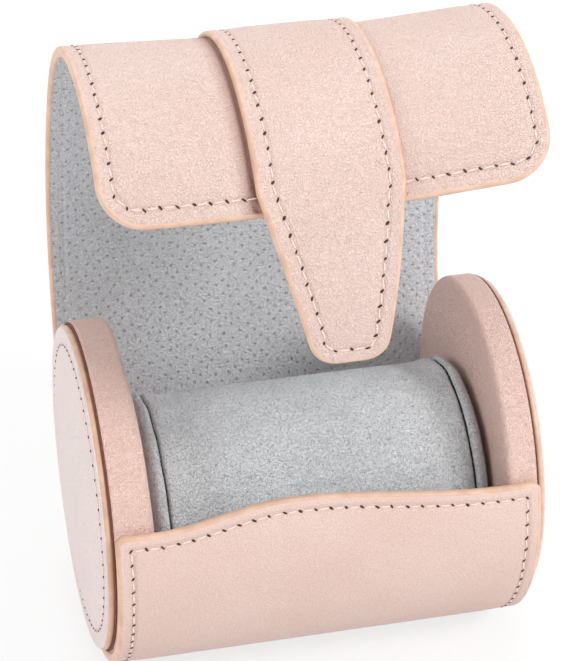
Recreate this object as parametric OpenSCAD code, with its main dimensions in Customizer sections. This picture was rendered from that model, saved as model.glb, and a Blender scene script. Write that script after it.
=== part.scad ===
// Single watch roll: two padded end discs joined by a leather wrap that runs on as a long flap
// with a strap, and a round watch pillow that lies between the discs. Millimetres, +Z up, +X
// along the roll, front towards -Y. The origin is the middle of the flat that it rests on.

/* [Roll] */
// Radius of the outer end covers
cover_r = 38; // [34:0.5:42]
// Width of the wrap, between the two end covers
wrap_w = 97.4; // [88:0.2:106]
// Outer radius of the wrap
wrap_r = 41.2; // [37.2:0.1:45.2]
// Depth of the flat pressed into the underside
rest_depth = 1; // [0.8:0.1:1.1]

/* [End discs] */
// Width of the leather band that shows inside each cover
band_w = 6.8; // [6:0.1:9]
// Thickness of a cover at its rim
rim_t = 2; // [1.6:0.1:2.6]
// How far the padded face of a cover stands out over its rim
dome_h = 2; // [1:0.1:3]
// Radius of the soft inner edge of an end disc
edge_r = 2.4; // [1.5:0.1:3]

/* [Leather and lining] */
// Thickness of the outer leather
leather_t = 1.3; // [1.2:0.1:1.5]
// Thickness of leather and lining together
sheet_t = 2.4; // [2.2:0.1:2.6]

/* [Front lip] */
// Height of the lip's low ends over the roll's axis
lip_low = 12.2; // [8:0.1:14]
// Extra height of the wave in the lip
lip_rise = 3.9; // [0:0.1:5]
// Place of the wave's crest along the roll
lip_crest_x = -9; // [-20:1:20]

/* [Flap and strap] */
// Length of the flap from where it leaves the roll to its free edge
flap_len = 193; // [191:1:194]
// Corner radius at the flap's free edge
flap_corner_r = 10; // [6:1:16]
// Width of the strap on the flap
strap_w = 32; // [26:1:36]
// Width of the strap at its tip
tip_w = 15.5; // [12:0.5:20]
// Length of strap that hangs past the flap's edge
strap_free = 33.5; // [32:0.5:35]

/* [Pillow] */
// Radius of the pillow at its middle
pillow_r = 28.9; // [26:0.1:29]
// Length of the pillow
pillow_len = 78.5; // [74:0.5:81]
// Distance of each seam from the pillow's end
seam_in = 3.5; // [3.5:0.1:6]

/* [Hidden] */

axis_z = wrap_r - rest_depth;
band_r = wrap_r - sheet_t;
band_x = wrap_w / 2 - band_w;
skin_t = 1;
play = 0.1;
round_fn = 96;

blush = [0.93, 0.81, 0.77];
pale_blush = [0.93, 0.85, 0.84];
edge_tan = [0.91, 0.73, 0.62];
suede_grey = [0.75, 0.77, 0.79];
foam_white = [0.9, 0.89, 0.86];
board_brown = [0.62, 0.53, 0.42];
steel = [0.7, 0.71, 0.73];

// The sheet's line: where it leaves the roll below the back, then runs of [length, turn].
leave_deg = 20;
line_runs = [[25, 5], [45, 27], [40, 23], [40, 56], [38, 52], [40, 48]];
line_step = 3;
// Distances along the line at which the sheet bends as the flap closes.
bends = [4, 22, 40, 58, 90, flap_len];
tip_bend = flap_len + 15;
strap_start = 93;
bend_gap = 0.25;

function run_start(i) = i == 0 ? 0 : run_start(i - 1) + line_runs[i - 1][0];
function run_heading(i) = i == 0 ? 90 - leave_deg : run_heading(i - 1) + line_runs[i - 1][1];
function arc_step(length, turn, heading) =
    let (r = length * 180 / (PI * turn))
    length == 0 ? [0, 0]
    : r * [sin(heading + turn) - sin(heading), cos(heading) - cos(heading + turn)];
function run_place(i) =
    i == 0 ? wrap_r * [cos(leave_deg), -sin(leave_deg)]
    : run_place(i - 1) + arc_step(line_runs[i - 1][0], line_runs[i - 1][1], run_heading(i - 1));
function run_of(s, i = 0) =
    i == len(line_runs) - 1 || s < run_start(i + 1) ? i : run_of(s, i + 1);
function run_turn(s, i) = line_runs[i][1] * (s - run_start(i)) / line_runs[i][0];
function heading_at(s) = let (i = run_of(s)) run_heading(i) + run_turn(s, i);
// A point of the line in the Y-Z plane, seen from the roll's axis. Depth goes inwards.
function point_at(s, depth) =
    let (i = run_of(s), h = heading_at(s))
    run_place(i) + arc_step(s - run_start(i), run_turn(s, i), run_heading(i))
    + depth * [-sin(h), cos(h)];
// Stations lie on one grid of steps, so that layers on each other share their facets.
function stations(s0, s1) =
    let (first = ceil((s0 + 0.5) / line_step), last = floor((s1 - 0.5) / line_step))
    concat([s0], [for (k = [first : 1 : last]) k * line_step], [s1]);
function strip_outline(s0, s1, d0, d1) =
    let (s = stations(s0, s1), n = len(s) - 1)
    concat([for (k = [0 : n]) point_at(s[k], d0)], [for (k = [n : -1 : 0]) point_at(s[k], d1)]);

// Turns a shape drawn with Y to the right and Z up into a bar along the roll.
module along_roll(x0, x1) {
    translate([x0, 0, axis_z]) rotate([90, 0, 90]) linear_extrude(x1 - x0) children();
}

// Turns a profile of [radius, distance along the roll] into a solid round the roll's axis.
module round_roll() {
    translate([0, 0, axis_z]) rotate([0, 90, 0]) rotate_extrude($fn = round_fn) children();
}

module at_side(side) {
    if (side > 0) children();
    else mirror([1, 0, 0]) children();
}

// End discs: a leather shell over foam and board, closed by a padded cover.
function quarter(cx, cy, r, a0, steps = 6) =
    [for (k = [0 : steps]) [cx + r * cos(a0 + 90 * k / steps), cy + r * sin(a0 + 90 * k / steps)]];

module disc_shell(side) {
    inner_r = band_r - skin_t;
    color(blush) at_side(side) round_roll() polygon(concat(
        [[0, band_x]], [for (p = quarter(band_r - edge_r, band_x + edge_r, edge_r, -90)) p],
        [[band_r, wrap_w / 2], [inner_r, wrap_w / 2]],
        [for (k = [4 : -1 : 0]) let (a = -90 + 22.5 * k, r = edge_r - skin_t)
            [band_r - edge_r + r * cos(a), band_x + edge_r + r * sin(a)]],
        [[0, band_x + skin_t]]
    ));
}

module disc_padding(side) {
    pad_r = band_r - skin_t - 1.6;
    color(foam_white) at_side(side) round_roll() polygon([
        [0, band_x + skin_t], [pad_r, band_x + skin_t],
        [pad_r + 1.5, band_x + skin_t + 1.5], [pad_r + 1.5, band_x + 3], [0, band_x + 3]
    ]);
}

module disc_board(side) {
    color(board_brown) at_side(side) round_roll() polygon([
        [0, band_x + 3], [band_r - skin_t - play, band_x + 3],
        [band_r - skin_t - play, wrap_w / 2], [0, wrap_w / 2]
    ]);
}

// Height of a cover's face over its rim, at a radius: flat margin, then a low dome.
function dome_at(r) =
    let (flat_r = cover_r - 5)
    r > flat_r ? 0 : dome_h * (1 - pow(r / flat_r, 4)) * 0.75 + dome_h * 0.25 * (1 - pow(r / flat_r, 2));

module cover_back(side) {
    color(edge_tan) at_side(side) round_roll()
        polygon([[0, wrap_w / 2], [cover_r - 0.2, wrap_w / 2],
            [cover_r, wrap_w / 2 + 0.2], [cover_r, wrap_w / 2 + rim_t / 2], [0, wrap_w / 2 + rim_t / 2]]);
}

module cover_padding(side) {
    base = wrap_w / 2 + rim_t / 2;
    radii = [for (k = [0 : 10]) (cover_r - 5) * k / 10];
    color(foam_white) at_side(side) round_roll() polygon(concat(
        [for (r = radii) [r, base + dome_at(r) + 0.02]], [[0, base]]));
}

module cover(side) {
    base = wrap_w / 2 + rim_t / 2;
    top = wrap_w / 2 + rim_t;
    radii = [for (k = [0 : 10]) (cover_r - 5) * k / 10];
    color(pale_blush) at_side(side) round_roll() polygon(concat(
        [for (r = radii) [r, top + dome_at(r)]],
        [[cover_r - 0.7, top], [cover_r - 0.2, top - 0.25], [cover_r, top - 0.7], [cover_r, base]],
        [for (k = [10 : -1 : 0]) [radii[k], base + dome_at(radii[k]) + 0.02]]
    ));
}

// Height over the axis of the lip's wavy top edge.
function lip_at(x) =
    let (reach = x < lip_crest_x ? 31 : 50, u = min(1, abs(x - lip_crest_x) / reach))
    lip_low + lip_rise * (1 + cos(180 * u)) / 2;

// Everything that the round wrap leaves open: over the lip in front, and above the bend behind.
module wrap_opening() {
    half = wrap_w / 2 + 1;
    xs = [for (k = [0 : 24]) -half + 2 * half * k / 24];
    far = 80;
    translate([0, 0, axis_z]) rotate([90, 0, 0]) linear_extrude(far)
        polygon(concat([for (x = xs) [x, lip_at(x)]], [[half, far], [-half, far]]));
    along_roll(-half, half) polygon([
        [-0.5, 0], far * [cos(leave_deg), -sin(leave_deg)], [far, far], [-0.5, far]
    ]);
}

module rest_flat() {
    translate([-wrap_w, -wrap_r, -wrap_r]) cube([2 * wrap_w, 2 * wrap_r, wrap_r]);
}

// One layer of the wrap, from depth d0 to d1 under its outer face, with its start of the flap.
module wrap_layer(d0, d1, soften = 0, tail = true) {
    half = wrap_w / 2;
    difference() {
        union() {
            difference() {
                round_roll() polygon([
                    [wrap_r - d0 - soften, -half], [wrap_r - d0, -half + soften],
                    [wrap_r - d0, half - soften], [wrap_r - d0 - soften, half],
                    [wrap_r - d1, half], [wrap_r - d1, -half]
                ]);
                wrap_opening();
            }
            if (tail) along_roll(-half, half)
                polygon(strip_outline(-0.4, bends[0] - bend_gap / 2, d0, d1));
        }
        rest_flat();
    }
}

board_d0 = leather_t;
board_d1 = leather_t + 0.4;
catch_deg = 94;

module catch_place(grow) {
    translate([0, 0, axis_z]) rotate([catch_deg + 90, 0, 0]) translate([0, 0, 20])
        translate([-10 - grow, -6 - grow, 0]) cube([20 + 2 * grow, 12 + 2 * grow, wrap_r]);
}

module wrap_leather() { color(blush) wrap_layer(0, leather_t, 0.8); }

module wrap_board() {
    color(board_brown) difference() {
        wrap_layer(board_d0, board_d1, 0, false);
        catch_place(play);
        along_roll(-wrap_w, wrap_w)
            polygon(strip_outline(-0.5, 3, board_d0 - 0.2, board_d1 + 0.2));
    }
}

module wrap_lining() {
    color(suede_grey) union() {
        wrap_layer(board_d1, sheet_t, 0, false);
        along_roll(-wrap_w / 2, wrap_w / 2)
            polygon(strip_outline(-0.4, bends[0] - bend_gap / 2, leather_t, sheet_t));
    }
}

module catch_plate() {
    color(steel) intersection() {
        wrap_layer(board_d0, board_d1, 0, false);
        catch_place(0);
    }
}

// Flap: one length of sheet between two bends.
module flap_strip(part, d0, d1) {
    last = part == len(bends) - 1;
    s1 = last ? flap_len : bends[part] - bend_gap / 2;
    difference() {
        along_roll(-wrap_w / 2, wrap_w / 2)
            polygon(strip_outline(bends[part - 1] + bend_gap / 2, s1, d0, d1));
        if (last) flap_corners();
    }
}

// What is cut away at the two front corners of the flap.
module flap_corners() {
    low = point_at(flap_len, 0);
    corner_h = -sin(heading_at(flap_len - flap_corner_r / 2)) * flap_corner_r;
    for (side = [-1, 1]) translate([side * wrap_w / 2, -18, axis_z + low[1]]) rotate([90, 0, 0])
        linear_extrude(50) polygon(concat(
            [[side, -8], [-side * flap_corner_r, -8]],
            [for (k = [0 : 8]) let (a = 90 * k / 8)
                [-side * flap_corner_r * (1 - sin(a)), corner_h * (1 - cos(a))]],
            [[side, corner_h]]
        ));
}

module flap_leather(part) { color(blush) flap_strip(part, 0, leather_t); }
module flap_lining(part) { color(suede_grey) flap_strip(part, leather_t, sheet_t); }

// Strap: half its width at a distance along the line, with rounded ends.
taper_start = flap_len - 5;
strap_end = flap_len + strap_free;
tip_corner_r = 4.5;
function strap_half(s) =
    let (taper = max(0, (s - taper_start) / (strap_end - taper_start)),
        plain = strap_w / 2 - (strap_w - tip_w) / 2 * taper,
        into_tip = max(0, s - (strap_end - tip_corner_r)))
    plain - tip_corner_r + sqrt(max(0, pow(tip_corner_r, 2) - pow(into_tip, 2)));

// Bar through the strap that has the strap's outline, seen from the front.
module strap_outline_bar(s0, s1) {
    n = max(2, round((s1 - s0) / 2));
    s = [for (k = [0 : n]) s0 + (s1 - s0) * k / n];
    z = [for (k = [0 : n]) point_at(s[k], -sheet_t / 2)[1]];
    top = [[strap_w / 2, 200], [-strap_w / 2, 200]];
    translate([0, 0, axis_z]) rotate([90, 0, 0]) linear_extrude(80) polygon(concat(
        top, [for (k = [0 : n]) [-strap_half(s[k]), z[k]]],
        [for (k = [n : -1 : 0]) [strap_half(s[k]), z[k]]]
    ));
}

module strap_strip(s0, s1, d0, d1) {
    along_roll(-strap_w / 2, strap_w / 2) polygon(strip_outline(s0, s1, -d1, -d0));
}

backing_t = sheet_t - leather_t;
function strap_d0(is_leather) = is_leather ? backing_t : 0;
function strap_d1(is_leather) = is_leather ? sheet_t : backing_t;

// The strap over the flap, with rounded corners behind.
module strap_top(is_leather) {
    back = point_at(strap_start, 0);
    r = 5;
    difference() {
        strap_strip(strap_start, taper_start, strap_d0(is_leather), strap_d1(is_leather));
        for (side = [-1, 1]) translate([side * strap_w / 2, 60, axis_z + back[1]])
            rotate([90, 0, 0]) linear_extrude(40) polygon(concat(
                [[side, -9], [-side * r, -9]],
                [for (k = [0 : 5]) let (a = 18 * k) [-side * r * (1 - sin(a)), r * (1 - cos(a))]],
                [[side, r]]
            ));
    }
    intersection() {
        strap_strip(taper_start, flap_len - bend_gap / 2, strap_d0(is_leather), strap_d1(is_leather));
        strap_outline_bar(taper_start, flap_len);
    }
}

module strap_neck(is_leather) {
    intersection() {
        strap_strip(flap_len + bend_gap / 2, tip_bend - sheet_t / 2 - bend_gap,
            strap_d0(is_leather), strap_d1(is_leather));
        strap_outline_bar(taper_start, tip_bend);
    }
}

// The tip's near end is round, so that it can bend both ways against the neck.
module tip_knuckle() {
    place = point_at(tip_bend, -sheet_t / 2);
    along_roll(-strap_w / 2, strap_w / 2) translate(place) circle(d = sheet_t, $fn = 32);
}

module strap_tip(is_leather) {
    intersection() {
        strap_strip(tip_bend - sheet_t, strap_end, strap_d0(is_leather), strap_d1(is_leather));
        strap_outline_bar(tip_bend - sheet_t, strap_end);
        union() {
            strap_strip(tip_bend, strap_end + 1, -1, sheet_t + 1);
            tip_knuckle();
        }
    }
}

magnet_s = flap_len + 24;
magnet_d = 9;
magnet_t = 0.8;
module magnet_place(d) {
    place = point_at(magnet_s, 0);
    translate([0, place[0], axis_z + place[1]]) rotate([heading_at(magnet_s), 0, 0])
        cylinder(h = 20, d = d, center = true, $fn = 48);
}

module strap_magnet() {
    color(steel) intersection() {
        strap_strip(tip_bend - sheet_t, strap_end, backing_t - magnet_t, backing_t);
        magnet_place(magnet_d);
    }
}

module strap_leather() { color(blush) strap_top(true); }
module strap_backing() { color(edge_tan) strap_top(false); }
module strap_neck_leather() { color(blush) strap_neck(true); }
module strap_neck_backing() { color(edge_tan) strap_neck(false); }
module strap_tip_leather() { color(blush) strap_tip(true); }
module strap_tip_backing() {
    color(edge_tan) difference() {
        strap_tip(false);
        intersection() {
            strap_strip(tip_bend - sheet_t, strap_end, backing_t - magnet_t, backing_t + 1);
            magnet_place(magnet_d + 2 * play);
        }
    }
}

// Pillow: a suede sleeve and two end caps over a foam core. It lies on the lining, a little
// in front of the middle and nearer to the right disc.
pillow_y = -3;
pillow_clear = 0.3;
pillow_z = -sqrt(pow(band_r - pillow_clear - pillow_r, 2) - pillow_y * pillow_y);
pillow_x = 1.6;
sleeve_t = 1.2;
sleeve_half = pillow_len / 2 - seam_in;
// Radius along the pillow: crowned in the middle and drawn in at the seams.
function crown_at(x) = pillow_r - 0.7 * pow(abs(x) / sleeve_half, 4);

module pillow_round() {
    translate([pillow_x, pillow_y, axis_z + pillow_z]) rotate([0, 90, 0])
        rotate_extrude($fn = round_fn) children();
}

module pillow_sleeve() {
    xs = [for (k = [-8 : 8]) sleeve_half * k / 8];
    color(suede_grey) pillow_round() polygon(concat(
        [for (x = xs) [crown_at(x), x]],
        [for (k = [16 : -1 : 0]) [crown_at(xs[k]) - sleeve_t, xs[k]]]
    ));
}

module pillow_core() {
    xs = [for (k = [-8 : 8]) sleeve_half * k / 8];
    core_end = pillow_len / 2 - sleeve_t;
    color(foam_white) pillow_round() polygon(concat(
        [[0, -core_end], [pillow_r - 6, -core_end]],
        [for (x = xs) [crown_at(x) - sleeve_t, x]],
        [[pillow_r - 6, core_end], [0, core_end]]
    ));
}

// An end cap swells from the seam, turns over a soft edge, and closes in a shallow dish.
module pillow_cap(side) {
    seam_r = crown_at(sleeve_half);
    end = pillow_len / 2;
    soft = seam_in - 0.4;
    color(suede_grey) pillow_round() mirror([0, side > 0 ? 0 : 1]) polygon(concat(
        [[seam_r - sleeve_t, sleeve_half], [seam_r - 0.5, sleeve_half], [seam_r + 0.1, sleeve_half + 0.4]],
        [for (k = [1 : 6]) let (a = 15 * k)
            [seam_r + 0.1 - soft + soft * cos(a), sleeve_half + 0.4 + soft * sin(a)]],
        [[0, end], [0, end - sleeve_t], [pillow_r - 6, end - sleeve_t]]
    ));
}

module pillow_left_cap() { pillow_cap(-1); }
module pillow_right_cap() { pillow_cap(1); }

disc_shell(-1);  // left_disc_shell
disc_padding(-1);  // left_disc_padding
disc_board(-1);  // left_disc_board
cover_back(-1);  // left_cover_back
cover_padding(-1);  // left_cover_padding
cover(-1);  // left_cover
disc_shell(1);  // right_disc_shell
disc_padding(1);  // right_disc_padding
disc_board(1);  // right_disc_board
cover_back(1);  // right_cover_back
cover_padding(1);  // right_cover_padding
cover(1);  // right_cover
wrap_leather();
wrap_board();
wrap_lining();
catch_plate();
flap_leather(1);  // flap_leather_1
flap_lining(1);  // flap_lining_1
flap_leather(2);  // flap_leather_2
flap_lining(2);  // flap_lining_2
flap_leather(3);  // flap_leather_3
flap_lining(3);  // flap_lining_3
flap_leather(4);  // flap_leather_4
flap_lining(4);  // flap_lining_4
flap_leather(5);  // flap_leather_5
flap_lining(5);  // flap_lining_5
strap_leather();
strap_backing();
strap_neck_leather();
strap_neck_backing();
strap_tip_leather();
strap_tip_backing();
strap_magnet();
pillow_core();
pillow_sleeve();
pillow_left_cap();
pillow_right_cap();
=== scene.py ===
import bpy
import numpy as np
from math import cos, exp, pi, radians, sin, sqrt
from mathutils import Matrix, Vector


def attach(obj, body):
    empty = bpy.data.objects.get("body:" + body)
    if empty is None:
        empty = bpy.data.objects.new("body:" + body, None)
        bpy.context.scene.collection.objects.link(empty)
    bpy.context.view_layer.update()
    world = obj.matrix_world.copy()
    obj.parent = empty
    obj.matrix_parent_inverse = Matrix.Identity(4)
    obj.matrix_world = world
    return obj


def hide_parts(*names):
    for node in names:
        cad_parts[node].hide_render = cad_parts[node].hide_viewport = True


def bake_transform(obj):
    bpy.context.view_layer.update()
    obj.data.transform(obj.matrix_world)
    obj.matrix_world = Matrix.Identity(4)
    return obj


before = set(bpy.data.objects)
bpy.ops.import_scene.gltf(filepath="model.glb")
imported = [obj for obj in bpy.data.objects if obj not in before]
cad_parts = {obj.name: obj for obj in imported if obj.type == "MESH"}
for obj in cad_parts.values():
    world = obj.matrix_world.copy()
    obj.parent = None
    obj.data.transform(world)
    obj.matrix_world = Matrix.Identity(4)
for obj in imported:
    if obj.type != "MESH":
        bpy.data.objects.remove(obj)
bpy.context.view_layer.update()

MM = 0.001
join = np.concatenate
scene = bpy.context.scene

# Sizes of the CAD source, in millimetres. The sheet is described by its flat pattern: s runs from
# the lip under the roll, up its back and on along the flap, with 0 where the round part ends.
# x runs across the sheet, and depth from its outer face inwards.
WRAP_R = 41.2
WRAP_W = 97.4
HALF = WRAP_W / 2
REST = 1.0
LEATHER_T = 1.3
SHEET_T = 2.4
BOARD_T = 0.4
AXIS_Z = WRAP_R - REST
BAND_R = WRAP_R - SHEET_T
BAND_X = HALF - 6.8
COVER_R = 38.0
RIM_T = 2.0
DOME_H = 1.84

# The round part of the line ends at LEAVE below the axis. Then come arcs of (length, degrees).
LEAVE = radians(20)
RUNS = [(25, 5), (45, 27), (40, 23), (40, 56), (38, 52), (40, 48)]
LIP_LOW = 12.2
LIP_RISE = 3.9
LIP_X = -9.0
LIP_CORNER = 2.6
WRAP_END = -6.0
FLAP_LEN = 193.0
FLAP_CORNER = 10.0

STRAP_W = 32.0
TIP_W = 15.5
STRAP_START = 93.0
NECK_START = 186.0
TAPER_START = 188.0
TIP_START = 200.5
STRAP_END = 226.5
STRAP_BACK_R = 5.0
TIP_CORNER = 4.5

PILLOW_R = 28.9
PILLOW_LEN = 78.5
PILLOW_END = PILLOW_LEN / 2
SEAM_X = PILLOW_END - 3.5
PILLOW_X = 1.6
PILLOW_Y = -3.0
PILLOW_Z = -sqrt((BAND_R - 0.3 - PILLOW_R) ** 2 - PILLOW_Y ** 2)
PILLOW_CENTRE = np.array([PILLOW_X, PILLOW_Y, AXIS_Z + PILLOW_Z]) * MM

# Edges and seams. BEAD is how far a painted edge reaches past the grid of its sheet.
BEAD = 0.9
EDGE_TUCK = 0.5
X_IN = HALF - BEAD
SKIN = 0.02
SEAM_SIDE = 3.4
SEAM_END = 4.2
SEAM_LIP = 3.3
SEAM_R = 5.2
STRAP_SEAM = 3.7
SHEET_PITCH = 3.5
STRAP_PITCH = 3.4
# Size and inset of the painted shade lines where the strap meets the flap.
SHADOW_LINE_R = 0.3
SHADOW_LINE_IN = 0.45
UNDER_STRAP = 15.0
BOARD_IN = 2.5
BOARD_END = -8.0

# Half sizes of the stitches: along the seam, across it and up.
THREAD = (1.3, 0.17, 0.13)
INNER_THREAD = (1.2, 0.26, 0.14)
HOLE = (0.56, 0.27, 0.12)
COVER_THREAD = (1.25, 0.16, 0.14)
COVER_HOLE = (0.36, 0.20, 0.17)

# How far the open flap stands up at its sides, on the left and right. The strap holds its middle.
TOP_LIFT = (1.7, 2.0)
FRONT_LIFT = (0.4, 2.4)
MIDDLE_SINK = 0.5
HELD = 12.0

# Radius of the small cap at each end of a turned piece.
POLE = 0.4

# Value of the distance attributes where nothing is near.
FAR = 9.0

# Places of the pieces that ride on one body.
CASE = ("case",)
PILLOW = ("pillow",)


# The sheet's line

def smooth01(t):
    """0 below 0, 1 above 1, and a smooth step between them."""
    t = np.clip(t, 0, 1)
    return t * t * (3 - 2 * t)


def circle(n):
    """Angles of n points evenly round a circle."""
    return np.linspace(0, 2 * pi, n, endpoint=False)


def corner_drop(radius, into):
    """How far a rounded corner has dropped at a distance into it."""
    return radius - np.sqrt(np.maximum(0, radius * radius - into * into))


def runs_table():
    """Start, length, turn, heading and place of each arc after the round part."""
    rows = []
    s = 0.0
    heading = pi / 2 - LEAVE
    p = WRAP_R * np.array([cos(LEAVE), -sin(LEAVE)])
    for length, degrees in RUNS:
        turn = radians(degrees)
        rows.append((s, length, turn, heading, p.copy()))
        r = length / turn
        after = heading + turn
        p = p + r * np.array([sin(after) - sin(heading), cos(heading) - cos(after)])
        s += length
        heading = after
    return rows


TABLE = runs_table()


def line(s, depth):
    """Points (y, z) of the sheet's line in mm, at distance s and depth inwards."""
    s, depth = np.broadcast_arrays(np.asarray(s, float), np.asarray(depth, float))
    phi = -LEAVE + s / WRAP_R
    y = WRAP_R * np.cos(phi)
    z = WRAP_R * np.sin(phi)
    heading = pi / 2 + phi
    for start, length, turn, h0, p in TABLE:
        here = s >= start
        r = length / turn
        h = h0 + turn * (s - start) / length
        y = np.where(here, p[0] + r * (np.sin(h) - np.sin(h0)), y)
        z = np.where(here, p[1] + r * (np.cos(h0) - np.cos(h)), z)
        heading = np.where(here, h, heading)
    return y - depth * np.sin(heading), z + depth * np.cos(heading) + AXIS_Z


def lift(s, x):
    """The open flap stands up a little beside the tight strap, most at its right front corner."""
    side = np.clip((np.abs(x) - HELD) / (HALF - HELD), 0, 1) ** 1.2
    top = smooth01((s - 70) / 45) * (1 - smooth01((s - 150) / 45))
    front = smooth01((s - 140) / 50)
    top_lift, front_lift = [np.where(x > 0, right, left) for left, right in (TOP_LIFT, FRONT_LIFT)]
    return top * (top_lift * side - MIDDLE_SINK) + front * front_lift * side


def place(s, x, depth):
    """Points of the sheet in metres. Its underside is pressed flat by the floor."""
    y, z = line(s, depth)
    s, x, y, z = np.broadcast_arrays(s, x, y, z)
    on_floor = np.maximum(z, np.maximum(depth, 0) * 0.2)
    z = np.where(s < 0, on_floor, z)
    return np.stack([x, y, z + lift(s, x)], -1) * MM


def strap_place(s, x, depth):
    """The same for the strap: pressed thinner where it is sewn down, and its tip hangs askew."""
    s = np.asarray(s, float)
    thin = 0.62 + 0.38 * smooth01((s - 120) / 70)
    askew = 2.2 * np.clip((s - 190) / 36, 0, 1) ** 1.3
    return place(s, x + askew, depth * thin)


# Materials

def srgb(colour, share=1.0):
    """Linear colour of 0 to 255 values, each first multiplied by its share."""
    out = []
    for c in np.multiply(colour, share):
        out.append(((c / 255 + 0.055) / 1.055) ** 2.4 if c > 10 else c / 255 / 12.92)
    return tuple(out) + (1.0,)


class Nodes:
    """Adds and links shader nodes in the node tree of a material or world."""

    def __init__(self, owner, output="ShaderNodeOutputMaterial"):
        owner.use_nodes = True
        self.tree = owner.node_tree
        self.tree.nodes.clear()
        self.out = self.add(output)

    def add(self, kind, **settings):
        n = self.tree.nodes.new(kind)
        for key, value in settings.items():
            setattr(n, key, value)
        return n

    def link(self, a, b):
        self.tree.links.new(a, b)

    def put(self, socket, value):
        if isinstance(value, bpy.types.NodeSocket):
            self.link(value, socket)
        else:
            socket.default_value = value

    def fill(self, kind, inputs, **settings):
        """Adds a node and puts a value or link in each named input."""
        n = self.add(kind, **settings)
        for key, value in inputs.items():
            self.put(n.inputs[key], value)
        return n

    def coords(self, uv=False):
        if uv:
            return self.add("ShaderNodeUVMap", uv_map="flat").outputs[0]
        return self.add("ShaderNodeTexCoord").outputs["Object"]

    def noise(self, vec, scale, detail=2.0, rough=0.5, dist=0.0, output=0):
        n = self.fill("ShaderNodeTexNoise", {
            "Vector": vec, "Scale": scale, "Detail": detail, "Roughness": rough, "Distortion": dist})
        return n.outputs[output]

    def creases(self, vec, scale):
        """Distance to the nearest crease between cells."""
        n = self.fill("ShaderNodeTexVoronoi", {"Vector": vec, "Scale": scale}, feature="DISTANCE_TO_EDGE")
        return n.outputs["Distance"]

    def math(self, op, a, b, clamp=False):
        n = self.fill("ShaderNodeMath", {0: a, 1: b}, operation=op, use_clamp=clamp)
        return n.outputs[0]

    def ramp(self, value, lo, hi, a=0.0, b=1.0):
        """Smooth step from a, where the value is lo, to b, where it is hi."""
        n = self.fill("ShaderNodeMapRange", {0: value, 1: lo, 2: hi, 3: a, 4: b},
                      interpolation_type="SMOOTHSTEP")
        return n.outputs[0]

    def mix(self, fac, a, b, kind="MIX"):
        n = self.fill("ShaderNodeMix", {0: fac, 6: a, 7: b}, data_type="RGBA", blend_type=kind)
        return n.outputs[2]

    def bump(self, height, distance, strength=1.0, normal=None):
        inputs = {"Height": height, "Distance": distance, "Strength": strength}
        if normal is not None:
            inputs["Normal"] = normal
        return self.fill("ShaderNodeBump", inputs).outputs[0]

    def attribute(self, name):
        return self.add("ShaderNodeAttribute", attribute_name=name).outputs["Fac"]

    def seam_groove(self, distance, strength, normal):
        """Sinks the surface along the seam, and returns the distance to it as well."""
        seam = self.math("ABSOLUTE", self.attribute("seam_mm"), 0.0)
        return seam, self.bump(self.ramp(seam, 0.1, 1.2), distance, strength, normal)

    def seen_directly(self):
        """1 for what the camera sees, also in a mirror or through glass, and 0 for other light."""
        rays = self.add("ShaderNodeLightPath").outputs
        seen = self.math("ADD", rays["Is Camera Ray"], rays["Is Glossy Ray"])
        return self.math("ADD", seen, rays["Is Transmission Ray"], clamp=True)


class Surface(Nodes):
    """The nodes of a new material, with one principled shader."""

    def __init__(self, name):
        self.mat = bpy.data.materials.new(name)
        super().__init__(self.mat)
        self.bsdf = self.add("ShaderNodeBsdfPrincipled")
        self.link(self.bsdf.outputs[0], self.out.inputs[0])

    def finish(self, colour, normal, rough, **others):
        """Fills the shader's inputs. In a keyword, an underscore stands for a space."""
        self.put(self.bsdf.inputs["Base Color"], colour)
        self.put(self.bsdf.inputs["Normal"], normal)
        self.put(self.bsdf.inputs["Roughness"], rough)
        for key, value in others.items():
            self.put(self.bsdf.inputs[key.replace("_", " ")], value)
        return self.mat


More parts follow.
